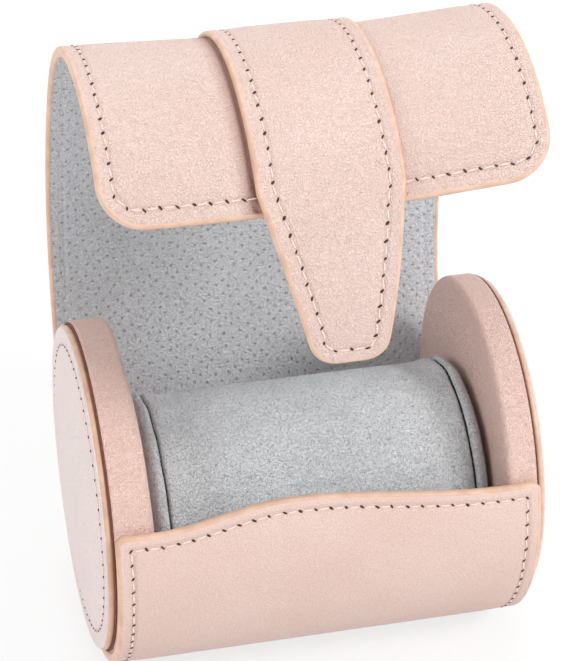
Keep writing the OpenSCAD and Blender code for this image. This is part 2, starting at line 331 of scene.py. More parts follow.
def leather(name, colour, shade, uv=False, grain=1500.0, depth=0.00016, worn_and_shaded=0.0):
    """Grained leather: small pebbles between creases, soft folds and blotches. With its last share
    set, it is also smoother where its grain attribute is low and has painted shade there, sinks and
    darkens along its seams, darkens towards its rim, and has the strap's painted shadow beside it."""
    m = Surface(name)
    vec = m.coords(uv)
    warp = m.add("ShaderNodeVectorMath", operation="MULTIPLY_ADD")
    m.link(m.noise(vec, 700.0, output=1), warp.inputs[0])
    warp.inputs[1].default_value = (0.0009, 0.0009, 0.0009)
    m.link(vec, warp.inputs[2])
    big = m.ramp(m.creases(warp.outputs[0], grain), 0.0, 0.26)
    small = m.ramp(m.creases(warp.outputs[0], grain * 2.1), 0.0, 0.30)
    pebble = m.math("ADD", m.math("MULTIPLY", big, 0.65), m.math("MULTIPLY", small, 0.35))
    fine = m.noise(vec, 3600.0, 3.0, 0.7)
    soft = m.noise(vec, 150.0, 3.0, 0.55, 0.6)
    blotch = m.noise(vec, 30.0, 3.0)

    dark = srgb(shade, (0.94, 0.90, 0.88))
    col = m.mix(m.ramp(blotch, 0.3, 0.7, 0.0, 0.45), srgb(colour), srgb(shade))
    col = m.mix(m.ramp(pebble, 0.0, 0.6, 0.50, 0.0), col, dark)
    col = m.mix(m.ramp(fine, 0.36, 0.50, 0.55, 0.0), col, dark)
    relief = m.attribute("grain") if worn_and_shaded else 1.0
    normal = m.bump(soft, 0.0006, 0.3)
    normal = m.bump(pebble, depth, relief, normal)
    normal = m.bump(fine, 0.00024, relief, normal)

    if worn_and_shaded:
        # Painted shade: where the grain attribute is low, as on the wrap's front, the colour is multiplied
        # darker.
        front = m.ramp(relief, 0.5, 1.0, 1.0, 0.0)
        col = m.mix(front, col, (0.85, 0.83, 0.825, 1.0), "MULTIPLY")
        seam, normal = m.seam_groove(0.00030, 0.9, normal)
        col = m.mix(m.ramp(seam, 0.1, 1.0, worn_and_shaded * 0.4, 0.0), col, dark)
        col = m.mix(m.ramp(m.attribute("rim_mm"), 0.0, 2.6, worn_and_shaded, 0.0), col, srgb(shade))
        # The strap's painted shadow on the flap: two warm brown steps, darkest at its edge.
        strap = m.attribute("strap_shadow_mm")
        for reach, share, shadow_tint in ((4.2, 0.62, (0.68, 0.52, 0.46)), (1.2, 0.80, (0.50, 0.32, 0.26))):
            col = m.mix(m.ramp(strap, 0.0, reach, share, 0.0), col, srgb(shade, shadow_tint))
    return m.finish(col, normal, m.ramp(pebble, 0.0, 1.0, 0.62, 0.48), Specular_IOR_Level=0.42,
                    Sheen_Weight=0.08, Sheen_Roughness=0.4)


def painted_edge(name, colour, shade):
    """Several coats of edge paint: smooth, a little wavy, with darker spots."""
    m = Surface(name)
    vec = m.coords()
    wave = m.noise(vec, 260.0, 3.0)
    spots = m.noise(vec, 900.0, 2.0, 0.6)
    col = m.mix(m.ramp(wave, 0.3, 0.75), srgb(colour), srgb(shade))
    col = m.mix(m.ramp(spots, 0.62, 0.8, 0.0, 0.35), col, srgb(shade, 0.86))
    normal = m.bump(spots, 0.00006, 0.5, m.bump(wave, 0.00025, 0.5))
    return m.finish(col, normal, m.ramp(spots, 0.2, 0.8, 0.36, 0.5), Specular_IOR_Level=0.45)


def prick(m, vec, fuzz, col, normal, pitch, dark, light):
    """Adds the lining's dimples in slanting rows: in each a small dark spot of painted shade, in a pale
    ring of painted highlight, over a matching dent.
    """
    turn = m.add("ShaderNodeVectorRotate", rotation_type="Z_AXIS")
    m.link(vec, turn.inputs["Vector"])
    turn.inputs["Angle"].default_value = radians(45)
    cell = m.fill("ShaderNodeTexVoronoi",
                  {"Vector": turn.outputs[0], "Scale": 1.0 / pitch, "Randomness": 0.42},
                  feature="F1", voronoi_dimensions="2D")
    ragged = m.math("MULTIPLY", m.math("SUBTRACT", fuzz, 0.5), 0.12)
    dist = m.math("ADD", cell.outputs["Distance"], ragged)
    inside = m.ramp(dist, 0.05, 0.12, 1.0, 0.0)
    ring = m.math("MULTIPLY", m.ramp(dist, 0.10, 0.16), m.ramp(dist, 0.18, 0.30, 1.0, 0.0))
    # Painted shade in each dimple, and a painted highlight on the ring round it.
    col = m.mix(m.math("MULTIPLY", inside, 0.55), col, srgb(dark, 0.58))
    col = m.mix(m.math("MULTIPLY", ring, 0.55), col, srgb(light))
    return col, m.bump(m.ramp(dist, 0.02, 0.26), 0.00035, 0.8, normal)


def suede(name, colour, dark, light, uv=False, dimple_pitch=None, clumps=1500.0):
    """Short nap in clumps and specks. The lining's has dimples and sinks along its seams."""
    m = Surface(name)
    vec = m.coords(uv)
    clump = m.noise(vec, clumps, 3.0, 0.65, 0.7)
    fuzz = m.noise(vec, 3800.0, 2.0, 0.7, 0.4)
    cloud = m.noise(vec, 60.0, 3.0)
    col = m.mix(m.ramp(cloud, 0.35, 0.65, 0.0, 0.2), srgb(colour), srgb(dark))
    col = m.mix(m.ramp(clump, 0.54, 0.66, 0.0, 0.8), col, srgb(light))
    col = m.mix(m.ramp(clump, 0.34, 0.45, 0.8, 0.0), col, srgb(dark))
    col = m.mix(m.ramp(fuzz, 0.36, 0.48, 0.8, 0.0), col, srgb(dark, 0.9))
    normal = m.bump(fuzz, 0.0003, 1.0, m.bump(clump, 0.0008))
    if dimple_pitch:
        col, normal = prick(m, vec, fuzz, col, normal, dimple_pitch, dark, light)
        normal = m.seam_groove(0.0003, 0.8, normal)[1]
    return m.finish(col, normal, 0.95, Specular_IOR_Level=0.15, Sheen_Weight=0.3,
                    Sheen_Roughness=0.55, Sheen_Tint=(0.93, 0.96, 1.0, 1.0))


def thread(name, colour, shade):
    """Twisted sewing thread: fine slanting strands."""
    m = Surface(name)
    wave = m.fill("ShaderNodeTexWave", {"Vector": m.coords(), "Scale": 900.0, "Distortion": 0.6},
                  wave_type="BANDS", bands_direction="DIAGONAL")
    strand = wave.outputs["Fac"]
    col = m.mix(m.ramp(strand, 0.1, 0.6, 0.6, 0.0), srgb(colour), srgb(shade))
    return m.finish(col, m.bump(strand, 0.00008, 0.6), 0.6, Sheen_Weight=0.2)


def plain(name, colour, shade, scale, rough, metallic=0.0, depth=0.0002):
    """Two shades mixed by noise, with a matching bump: holes, painted shade in crevices and seams,
    board, foam and steel.
    """
    m = Surface(name)
    grain = m.noise(m.coords(), scale, 5.0, 0.65)
    col = m.mix(m.ramp(grain, 0.35, 0.65), srgb(colour), srgb(shade))
    roughness = m.ramp(grain, 0.3, 0.7, rough - 0.06, rough + 0.06)
    return m.finish(col, m.bump(grain, depth, 0.5), roughness, Metallic=metallic)


mat_flap = leather("flap_leather", (243, 220, 211), (232, 200, 189), uv=True, worn_and_shaded=0.35)
mat_disc = leather("disc_leather", (255, 223, 212), (245, 204, 191), grain=1900.0, depth=0.00018)
mat_cover = leather("cover_leather", (252, 241, 239), (245, 228, 225), grain=1700.0, depth=0.00013)
mat_edge = painted_edge("edge_paint", (222, 187, 165), (207, 168, 145))
# A darker copy of the edge paint for the left cover: painted shade.
mat_left_edge_shaded = painted_edge("left_edge_paint_shaded", (218, 178, 152), (200, 157, 130))
mat_lining = suede("lining_suede", (239, 240, 243), (206, 207, 213), (253, 254, 255),
                   uv=True, dimple_pitch=0.0025)
mat_pillow = suede("pillow_suede", (243, 245, 247), (182, 185, 190), (254, 255, 255), clumps=1700.0)
mat_thread = thread("pink_thread", (250, 232, 223), (222, 190, 180))
mat_grey_thread = thread("grey_thread", (205, 208, 212), (160, 163, 168))
mat_hole = plain("needle_hole", (78, 44, 36), (54, 28, 22), 2500.0, 0.8)
# Painted shade for the crevices beside the strap and between each cover and its disc.
mat_painted_shade = plain("painted_crevice_shade", (122, 66, 52), (96, 48, 38), 900.0, 0.7)
mat_seam_shadow = plain("seam_shadow", (56, 52, 53), (38, 35, 36), 2500.0, 0.9)
mat_board = plain("grey_board", (176, 158, 134), (150, 132, 108), 700.0, 0.8)
mat_foam = plain("foam_pad", (238, 234, 224), (214, 208, 196), 1800.0, 0.9, depth=0.0005)
mat_steel = plain("bare_steel", (176, 178, 182), (150, 152, 158), 900.0, 0.35, metallic=1.0,
                  depth=0.00003)


# Mesh helpers

def add_object(name, data):
    """Adds an object to the scene."""
    ob = bpy.data.objects.new(name, data)
    scene.collection.objects.link(ob)
    return ob


def make(name, verts, faces, mats, uvs=None, attrs=None, flat_from=None, face_mats=None):
    """Adds a mesh object. Faces from flat_from on, and those with over four sides, are flat, with
    sharp borders."""
    me = bpy.data.meshes.new(name)
    me.from_pydata([tuple(v) for v in verts], [], faces)
    me.validate()
    for m in mats:
        me.materials.append(m)
    if face_mats is not None:
        me.polygons.foreach_set("material_index", np.asarray(face_mats, np.int32))
    sides = np.zeros(len(me.polygons), np.int32)
    me.polygons.foreach_get("loop_total", sides)
    flat = sides > 4
    if flat_from is not None:
        flat[flat_from:] = True
    me.polygons.foreach_set("use_smooth", ~flat)
    loops = np.zeros(len(me.loops), np.int32)
    me.loops.foreach_get("edge_index", loops)
    sharp = np.zeros(len(me.edges), bool)
    sharp[loops[np.repeat(flat, sides)]] = True
    me.edges.foreach_set("use_edge_sharp", sharp)
    if uvs is not None:
        me.loops.foreach_get("vertex_index", loops)
        layer = me.uv_layers.new(name="flat")
        layer.data.foreach_set("uv", np.asarray(uvs, np.float32)[loops].ravel())
    for key, values in (attrs or {}).items():
        a = me.attributes.new(key, "FLOAT", "POINT")
        a.data.foreach_set("value", np.asarray(values, np.float32))
    me.update()
    return add_object(name, me)


class Build:
    """Collects several closed shapes into one mesh."""

    def __init__(self):
        self.verts = []
        self.faces = []
        self.face_mats = []
        self.count = 0

    def add(self, verts, faces, mat=0):
        verts = np.asarray(verts).reshape(-1, 3)
        self.verts.append(verts)
        self.faces += [tuple(i + self.count for i in f) for f in faces]
        self.face_mats += [mat] * len(faces)
        self.count += len(verts)

    def make(self, name, mats):
        return make(name, join(self.verts), self.faces, mats, face_mats=self.face_mats)


def grid_faces(n, m, start=0, flip=False, wrap_n=False, wrap_m=False):
    """Quads of a grid with n rows of m points, closed along either way where wrapped."""
    faces = []
    for i in range(n if wrap_n else n - 1):
        for j in range(m if wrap_m else m - 1):
            row = start + i * m
            after = start + ((i + 1) % n) * m
            quad = (row + j, row + (j + 1) % m, after + (j + 1) % m, after + j)
            faces.append(quad[::-1] if flip else quad)
    return faces


def tube_faces(n, m, flip=False):
    """Faces of a tube of n rings of m points, with a cap at each end."""
    caps = [tuple(range(m))[::-1], tuple(range((n - 1) * m, n * m))]
    if flip:
        caps = [cap[::-1] for cap in caps]
    return grid_faces(n, m, 0, flip, False, True) + caps


def columns(outer, inner, n_edge, n_mid):
    """Places from -outer to outer, closer together outside inner."""
    edge = np.linspace(-outer, -inner, n_edge)
    return join([edge, np.linspace(-inner, inner, n_mid)[1:-1], -edge[::-1]])


def even_rows(s0, s1, step=1.0):
    """Places from s0 to s1 about one step apart."""
    return np.linspace(s0, s1, max(2, int((s1 - s0) / step) + 1))


def slab(S, X, d0, d1, raised=0.0, put=place):
    """Closed layer of the sheet between depths d0 and d1: points, faces, flat places and the number
    of its first side wall."""
    n, m = S.shape
    outer = put(S, X, d0 - raised + 0 * S)
    inner = put(S, X, d1 + 0 * S)
    verts = join([outer.reshape(-1, 3), inner.reshape(-1, 3)])
    faces = grid_faces(n, m, 0, True) + grid_faces(n, m, n * m)
    walls = len(faces)
    ring = list(range(m)) + [i * m + m - 1 for i in range(1, n)]
    ring += [(n - 1) * m + j for j in range(m - 2, -1, -1)] + [i * m for i in range(n - 2, 0, -1)]
    for a, b in zip(ring, ring[1:] + ring[:1]):
        faces.append((a, b, b + n * m, a + n * m))
    uv = np.stack([X, S], -1).reshape(-1, 2) * MM
    return verts, faces, join([uv, uv]), walls


def wear_and_shade(S, seam=FAR, rim=FAR, strap=FAR, grain=1.0):
    """Attributes of the sheet's and strap's leather, for its grain, seams, rim and the strap's painted
    shadow, over both faces of a slab. Its inner face has no seam near.
    """
    out = {"grain": np.tile(np.broadcast_to(grain, S.shape).ravel(), 2)}
    for key, values in (("seam_mm", seam), ("rim_mm", rim), ("strap_shadow_mm", strap)):
        out[key] = join([np.broadcast_to(values, S.shape).ravel(), np.full(S.size, FAR)])
    return out


def edge_tube(s, x, d_mid, half_t, put=place):
    """Rounded painted edge along a path of the flat pattern: a closed tube with a D section."""
    path = np.stack([s, x], -1)
    way = np.gradient(path, axis=0)
    way /= np.linalg.norm(way, axis=1)[:, None]
    outward = np.stack([-way[:, 1], way[:, 0]], -1)
    a = np.linspace(-pi / 2, pi / 2, 9)
    round_part = (BEAD + 0.001) * np.sign(np.cos(a)) * np.abs(np.cos(a)) ** 0.8
    u = join([[-EDGE_TUCK], round_part, [-EDGE_TUCK]])
    d = d_mid + half_t * join([[-0.86], np.sin(a), [0.86]])
    P = path[:, None, :] + u[None, :, None] * outward[:, None, :]
    verts = put(P[..., 0], P[..., 1], np.broadcast_to(d, P.shape[:2]))
    n, m = verts.shape[:2]
    caps = [tuple(range(m)), tuple(range((n - 1) * m, n * m))[::-1]]
    return verts.reshape(-1, 3), grid_faces(n, m, 0, False, False, True) + caps


def small_ball(latitude):
    """Points and faces of a unit ball with eight meridians and three parallels."""
    around = circle(8)
    pts = [(0, 0, -1)]
    for up in (-latitude, 0.0, latitude):
        pts += [(cos(up) * cos(a), cos(up) * sin(a), sin(up)) for a in around]
    pts.append((0, 0, 1))
    faces = []
    for i in range(8):
        j = (i + 1) % 8
        faces += [(0, 1 + j, 1 + i), (25, 17 + i, 17 + j)]
        faces += [(k + i, k + j, k + 8 + j, k + 8 + i) for k in (1, 9)]
    return np.array(pts), faces


def drop(s, x, depth, way, half, turn=0.0, put=place):
    """A small ball lying on the sheet at flat (s, x), drawn out along the seam's way there."""
    c = cos(turn)
    k = sin(turn)
    along = (way[0] * c - way[1] * k, way[1] * c + way[0] * k)
    pts, faces = small_ball(pi / 4)
    pts = pts * half
    S = s + pts[:, 0] * along[0] - pts[:, 1] * along[1]
    X = x + pts[:, 0] * along[1] + pts[:, 1] * along[0]
    return put(S, X, depth - pts[:, 2]), faces


def spaced(s, x, pitch):
    """Evenly spaced points and directions along a path of the flat pattern."""
    p = np.stack([s, x], -1)
    step = np.linalg.norm(np.diff(p, axis=0), axis=1)
    run = join([[0], np.cumsum(step)])
    count = max(1, round(run[-1] / pitch))
    at = (np.arange(count) + 0.5) * run[-1] / count
    here, before, after = [np.stack([np.interp(at + shift, run, p[:, i]) for i in (0, 1)], -1)
                           for shift in (0.0, -0.5, 0.5)]
    ahead = after - before
    return here, ahead / np.linalg.norm(ahead, axis=1)[:, None]


def sew(build, paths, pitch, depth, inner_depth=None, put=place):
    """Threads and needle holes of a seam, outside and, where inner_depth is given, inside."""
    rng = np.random.default_rng(11)
    for s, x in paths:
        for (ps, px), way in zip(*spaced(s, x, pitch)):
            r = rng.uniform(-1, 1, 4)
            build.add(*drop(ps, px, depth - 0.03, way, THREAD, 0.10 + 0.05 * r[0], put), 0)
            along = pitch / 2 + 0.12 * r[1]
            across = 0.10 * r[2]
            hole_s = ps + way[0] * along - way[1] * across
            hole_x = px + way[1] * along + way[0] * across
            half = (HOLE[0] + 0.10 * r[3], HOLE[1] + 0.05 * r[0], HOLE[2])
            build.add(*drop(hole_s, hole_x, depth + SKIN, way, half, -0.75 + 0.25 * r[1], put), 1)
            if inner_depth is not None:
                build.add(*drop(ps, px, inner_depth, way, INNER_THREAD, 0.0, put), 2)


def dress(ob, slot, where, *nodes):
    """Hides the CAD nodes that a piece stands for, and puts the piece on its body where one body is
    given. Where two bodies and a bend are given, it keeps its place and rides on neither. The slot
    is not used."""
    if nodes:
        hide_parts(*nodes)
    if len(where) == 1:
        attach(ob, where[0])
        return
    first, second, middle, reach = where
    for s in (middle - reach, middle + reach):
        y, z = line(s, SHEET_T / 2)
    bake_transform(ob)


# Wrap and flap

COLS = columns(X_IN, X_IN - 6.0, 9, 44)

# Each piece of the sheet: name, from s, to s, place, CAD nodes.
SHEETS = [
    ("wrap_sheet", None, WRAP_END, CASE, "wrap_leather", "wrap_lining"),
    ("flap_bend_1", WRAP_END, 13.0, ("case", "flap_1", 4.0, 7.5), "flap_leather_1", "flap_lining_1"),
    ("flap_bend_2", 13.0, 31.0, ("flap_1", "flap_2", 22.0, 8.0), "flap_leather_2", "flap_lining_2"),
    ("flap_bend_3", 31.0, 49.0, ("flap_2", "flap_3", 40.0, 8.0), "flap_leather_3", "flap_lining_3"),
    ("flap_bend_4", 49.0, 74.0, ("flap_3", "flap_4", 58.0, 8.5), "flap_leather_4", "flap_lining_4"),
    ("flap_front", 74.0, FLAP_LEN, ("flap_4", "flap_5", 90.0, 11.0), "flap_leather_5", "flap_lining_5"),
]


def lip_s(x):
    """Distance along the line at which the lip ends, at place x."""
    reach = np.where(x < LIP_X, 31.0, 50.0)
    u = np.minimum(1, np.abs(x - LIP_X) / reach)
    z = LIP_LOW + LIP_RISE * (1 + np.cos(pi * u)) / 2
    over = np.clip(np.abs(x) - (HALF - LIP_CORNER), 0, LIP_CORNER - 0.001)
    return -WRAP_R * (pi + np.arcsin(z / WRAP_R) - LEAVE) + corner_drop(LIP_CORNER, over)


def flap_half(s, inner):
    """Half width of the flap at s, less an inner margin that follows its rounded corners."""
    r = FLAP_CORNER - inner
    into = np.clip(s - (FLAP_LEN - FLAP_CORNER), 0, r)
    return HALF - inner - corner_drop(r, into)


def wrap_seam_mm(S, X):
    """Distance inwards from the nearest seam of the wrap or flap, negative outside it."""
    side = (HALF - SEAM_SIDE) - np.abs(X)
    lip = S - (lip_s(X) + SEAM_LIP)
    end = (FLAP_LEN - SEAM_END) - S
    cs = S - (FLAP_LEN - SEAM_END - SEAM_R)
    cx = np.abs(X) - (HALF - SEAM_SIDE - SEAM_R)
    from_corner = SEAM_R - np.hypot(np.maximum(cs, 0), np.maximum(cx, 0))
    corner = np.where((cs > 0) & (cx > 0), from_corner, 99)
    return np.minimum(np.minimum(side, corner), np.minimum(lip, end))


def puff(seam, high, reach):
    """The leather swells between its seams and sinks along them."""
    return high * smooth01(seam / reach) - 0.10 * np.exp(-(seam / 0.8) ** 2)


def painted_strap_shadow_mm(S, X):
    """Distance to the strap's outline for the strap's painted shadow, which is fainter on the
    strap's right and fades towards its back end."""
    out_x = np.maximum(np.abs(X) - (STRAP_W / 2 - STRAP_BACK_R), 0)
    out_s = np.maximum(STRAP_START + STRAP_BACK_R - S, 0)
    beside = np.abs(np.hypot(out_x, out_s) - STRAP_BACK_R - 0.2)
    return np.where(X < 0, beside, 2.2 + beside * 1.8) + 2.0 * (1 - smooth01((S - 85) / 45))


def sheet_grid(s0, s1):
    """Flat places of one piece's grid."""
    if s0 is None:
        lip = lip_s(COLS) + BEAD
        u = join([np.linspace(0, 0.08, 9), np.linspace(0.08, 1, 92)[1:]])[:, None]
        return np.broadcast_arrays(lip + (s1 - lip) * u, COLS)
    if s1 < FLAP_LEN:
        return np.broadcast_arrays(even_rows(s0, s1)[:, None], COLS)
    corner = FLAP_LEN - FLAP_CORNER
    turn = np.linspace(0, pi / 2, 16)[1:]
    rows = join([even_rows(s0, corner, 1.2), corner + (FLAP_CORNER - BEAD) * np.sin(turn)])
    return np.broadcast_arrays(rows[:, None], flap_half(rows, BEAD)[:, None] * (COLS / X_IN))


def front_path(s0, r, side, corner, x_end, counts):
    """Path on the right of the flap's front piece: along its side, round a corner of radius r and
    then inwards to x_end."""
    n_side, n_turn, n_end = counts
    turn = np.linspace(0, pi / 2, n_turn)[1:]
    s = join([np.linspace(s0, corner, n_side), corner + r * np.sin(turn), np.full(n_end - 1, corner + r)])
    x = join([np.full(n_side, side + r), side + r * np.cos(turn), np.linspace(side, x_end, n_end)[1:]])
    return s, x


def sheet_paths(s0, s1):
    """The painted edge's paths for one piece, with the sheet on the same side of each."""
    if s0 is None:
        xs = -columns(X_IN, X_IN - 3.2, 12, 90)
        down = np.linspace(s1, lip_s(X_IN) + BEAD, 100)[:-1]
        s = join([down, lip_s(xs) + BEAD, down[::-1]])
        x = join([np.full(99, X_IN), xs, np.full(99, -X_IN)])
        return [(s[::-1], x[::-1])]
    if s1 < FLAP_LEN:
        rows = even_rows(s0, s1)
        return [(rows, np.full(len(rows), X_IN)), (rows[::-1], np.full(len(rows), -X_IN))]
    s, x = front_path(s0, FLAP_CORNER - BEAD, HALF - FLAP_CORNER, FLAP_LEN - FLAP_CORNER, 0, (90, 18, 40))
    return [(join([s, s[::-1][1:]]), join([x, -x[::-1][1:]]))]


def seam_paths(s0, s1):
    """The stitch rows of one piece, as paths of the flat pattern."""
    x_side = HALF - SEAM_SIDE
    if s0 is None:
        xs = np.linspace(-x_side, x_side, 90)
        lip = lip_s(xs) + SEAM_LIP
        down = np.linspace(lip[0], s1, 60)
        return [(down[::-1], np.full(60, -x_side)), (lip, xs), (down, np.full(60, x_side))]
    if s1 < FLAP_LEN:
        rows = np.linspace(s0, s1, 20)
        return [(rows, np.full(20, x_side)), (rows, np.full(20, -x_side))]
    corner = FLAP_LEN - SEAM_END - SEAM_R
    s, x = front_path(s0, SEAM_R, x_side - SEAM_R, corner, UNDER_STRAP, (80, 14, 13))
    return [(s, -x), (s, x)]


def wrap_board():
    """The stiff board between the wrap's leather and its lining."""
    cols = COLS * (HALF - BOARD_IN) / X_IN
    low = lip_s(cols) + BOARD_IN
    rows = low + (BOARD_END - low) * np.linspace(0, 1, 60)[:, None]
    v, f, uv, walls = slab(*np.broadcast_arrays(rows, cols), LEATHER_T + SKIN, LEATHER_T + BOARD_T - SKIN)
    ob = make("wrap_stiffener", v, f, [mat_board], uv, None, walls)
    dress(ob, "board", CASE, "wrap_board")


def sheet_piece(name, s0, s1, where, leather_node, lining_node):
    """Leather, lining, painted edge and stitches of one piece."""
    S, X = sheet_grid(s0, s1)
    seam = wrap_seam_mm(S, X)
    rim = np.minimum(HALF - np.abs(X), np.minimum(S - lip_s(X), FLAP_LEN - S))
    # Grain is low towards the lip: the leather there is smoother and takes painted shade.
    grain = 0.45 + 0.55 * smooth01((S + 110) / 150)
    v, f, uv, walls = slab(S, X, 0.0, LEATHER_T - SKIN, puff(seam, 0.16, 5.0))
    attrs = wear_and_shade(S, seam, rim, painted_strap_shadow_mm(S, X), grain)
    outer = make(f"{name}_leather", v, f, [mat_flap], uv, attrs, walls)
    dress(outer, "blush_leather", where, leather_node)
    if s0 is None:
        wrap_board()

    v, f, uv, walls = slab(S, X, LEATHER_T + (BOARD_T if s0 is None else 0), SHEET_T)
    inner_seam = np.minimum(HALF - 3.6 - np.abs(X), seam + 0.4).ravel()
    inner = make(f"{name}_lining", v, f, [mat_lining], uv,
                 {"seam_mm": join([np.full(seam.size, FAR), inner_seam])}, walls)
    dress(inner, "grey_lining", where, lining_node)

    b = Build()
    for s, x in sheet_paths(s0, s1):
        b.add(*edge_tube(s, x, SHEET_T / 2, SHEET_T / 2 + 0.03))
    dress(b.make(f"{name}_painted_edge", [mat_edge]), "painted_edge", where)

    b = Build()
    sew(b, seam_paths(s0, s1), SHEET_PITCH, SKIN, SHEET_T - 0.05)
    dress(b.make(f"{name}_stitches", [mat_thread, mat_hole, mat_grey_thread]), "blush_leather", where)
    start = float(lip_s(np.array(0.0))) if s0 is None else s0
    return inner, outer, 2 * X_IN * MM, (s1 - start) * MM


linings = [sheet_piece(*row) for row in SHEETS]


# Strap

STRAP_COLS = columns(1, 0.66, 8, 22)

# Each piece of the strap: name, from s, to s, place, CAD nodes.
STRAPS = [
    ("strap", STRAP_START, NECK_START, ("flap_5",), "strap_leather", "strap_backing"),
    ("strap_neck", NECK_START, TIP_START, ("flap_5", "strap_neck", 194.0, 5.5),
     "strap_neck_leather", "strap_neck_backing"),
    ("strap_tip", TIP_START, STRAP_END, ("strap_neck", "strap_tip", 208.0, 6.5),
     "strap_tip_leather", "strap_tip_backing"),
]


def strap_corner(radius, inner):
    """Radius of a rounded corner of the strap at an inner margin."""
    return radius - inner * 0.6


def strap_half(s, inner=0.0):
    """Half width of the strap at s, less an inner margin."""
    taper = np.maximum(0, (s - TAPER_START) / (STRAP_END - TAPER_START))
    half = STRAP_W / 2 - (STRAP_W - TIP_W) / 2 * taper - inner
    tip_r = strap_corner(TIP_CORNER, inner)
    back_r = strap_corner(STRAP_BACK_R, inner)
    into_tip = np.clip(s - (STRAP_END - inner - tip_r), 0, tip_r)
    into_back = np.clip((STRAP_START + inner + back_r) - s, 0, back_r)
    return half - corner_drop(tip_r, into_tip) - corner_drop(back_r, into_back)


def strap_rows(s0, s1, inner):
    """Rows of one piece of the strap, closer together in its rounded corners."""
    start = STRAP_START + inner
    end = STRAP_END - inner
    turn = np.linspace(0, pi / 2, 9)
    lo = max(s0, start)
    hi = min(s1, end)
    back = []
    tip = []
    if s0 == STRAP_START:
        r = strap_corner(STRAP_BACK_R, inner)
        back = start + r * (1 - np.cos(turn))[:-1]
        lo = start + r
    if s1 == STRAP_END:
        r = strap_corner(TIP_CORNER, inner)
        tip = end - r * (1 - np.sin(turn))[1:]
        hi = end - r
    return join([back, even_rows(lo, hi), tip])


def strap_edge(s0, s1, inner):
    """Paths along one piece of the strap's outline, at an inner margin."""
    rows = strap_rows(s0, s1, inner)
    w = strap_half(rows, inner)
    if s1 == STRAP_END:
        across = np.linspace(w[-1], -w[-1], 12)[1:-1]
        s = join([rows, np.full(10, rows[-1]), rows[::-1]])
        return [(s, join([w, across, -w[::-1]]))]
    if s0 == STRAP_START:
        across = np.linspace(-w[0], w[0], 24)[1:-1]
        s = join([rows[::-1], np.full(22, rows[0]), rows])
        return [(s, join([-w[::-1], across, w]))]
    return [(rows, w), (rows[::-1], -w[::-1])]


def strap_shadow_lines(build, s0, s1):
    """Dark lines of painted shade where the sewn-down strap meets the flap."""
    rows = strap_rows(s0, s1, SHADOW_LINE_IN)[3:]
    w = strap_half(rows, SHADOW_LINE_IN)[:, None]
    turn = circle(8)[None, :]
    for k in (-1, 1):
        tube = strap_place(rows[:, None] + 0 * turn, k * w + SHADOW_LINE_R * np.cos(turn),
                           SHADOW_LINE_R * np.sin(turn) - 0.1)
        build.add(tube, tube_faces(len(rows), 8), 2)


def strap_piece(name, s0, s1, where, face_node, back_node):
    """Face, backing, painted edge and stitches of one piece of the strap."""
    rows = strap_rows(s0, s1, BEAD)
    S, X = np.broadcast_arrays(rows[:, None], strap_half(rows, BEAD)[:, None] * STRAP_COLS)
    rim = np.minimum(strap_half(S) - np.abs(X), np.minimum(STRAP_END - S, S - STRAP_START))
    seam = rim - STRAP_SEAM
    joint_depth = -(SHEET_T - LEATHER_T)

    v, f, uv, walls = slab(S, X, -SHEET_T, joint_depth - SKIN, puff(seam, 0.30, 6.0), strap_place)
    uv = uv + np.array([0.3, 0.1])
    face = make(f"{name}_face", v, f, [mat_flap], uv, wear_and_shade(S, seam, rim), walls)
    dress(face, "blush_leather", where, face_node)

    v, f, uv, walls = slab(S, X, joint_depth, -0.03, put=strap_place)
    back = make(f"{name}_back", v, f, [mat_flap], uv, wear_and_shade(S), walls)
    dress(back, "blush_leather", where, back_node)

    b = Build()
    for s, x in strap_edge(s0, s1, BEAD):
        b.add(*edge_tube(s, x, -SHEET_T / 2 - 0.01, SHEET_T / 2 + SKIN, strap_place))
    dress(b.make(f"{name}_painted_edge", [mat_edge]), "painted_edge", where)

    b = Build()
    sew(b, strap_edge(s0, s1, STRAP_SEAM), STRAP_PITCH, -SHEET_T + SKIN, put=strap_place)
    # On the strap's first piece, painted shade lines run along both its edges.
    if s0 == STRAP_START:
        strap_shadow_lines(b, s0, s1)
    dress(b.make(f"{name}_stitches", [mat_thread, mat_hole, mat_painted_shade]), "blush_leather", where)


for row in STRAPS:
    strap_piece(*row)


# End discs and covers

COVER_TOP = HALF + RIM_T
COVER_SEAM_R = COVER_R - 4.5
COVER_STITCHES = 64
TURNS = 192


def arc(cx, cy, rx, ry, a0, a1, steps):
    """Points of an elliptic arc from a0 to a1 degrees."""
    angles = [radians(a0 + (a1 - a0) * k / steps) for k in range(steps + 1)]
    return [(cx + rx * cos(a), cy + ry * sin(a)) for a in angles]


def lathe(profile, side, push=None):
    """Turns a profile of (radius, distance along X) round the roll's axis."""
    profile = np.asarray(profile, float)
    a = circle(TURNS)[None, :]
    r = profile[:, :1] * np.ones(TURNS)
    x = profile[:, 1:] * np.ones(TURNS)
    if push is not None:
        x = x + push(r, x, a)
    verts = np.stack([side * x, r * np.cos(a), r * np.sin(a) + AXIS_Z], -1)
    return verts.reshape(-1, 3) * MM


def turned_solid(profile, side, push=None):
    """Closed lathe whose first and last rings are small and capped."""
    return lathe(profile, side, push), tube_faces(len(profile), TURNS, side < 0)


def soft_disc(r, x, a, fuller):
    """Leather drawn over foam is never quite even. The left disc is fuller low in front."""
    near = smooth01((r - 14) / 14)
    uneven = near * (0.10 * np.sin(3 * a + 0.6) + 0.06 * np.sin(7 * a + 1.9))
    d = np.degrees(a)
    rise = 0.6 * smooth01((d - 5) / 75) + 0.4 * smooth01((d - 90) / 75)
    full = fuller * near * rise * (1 - smooth01((d - 250) / 80))
    return (uneven - full) * (x < BAND_X + 3.4)


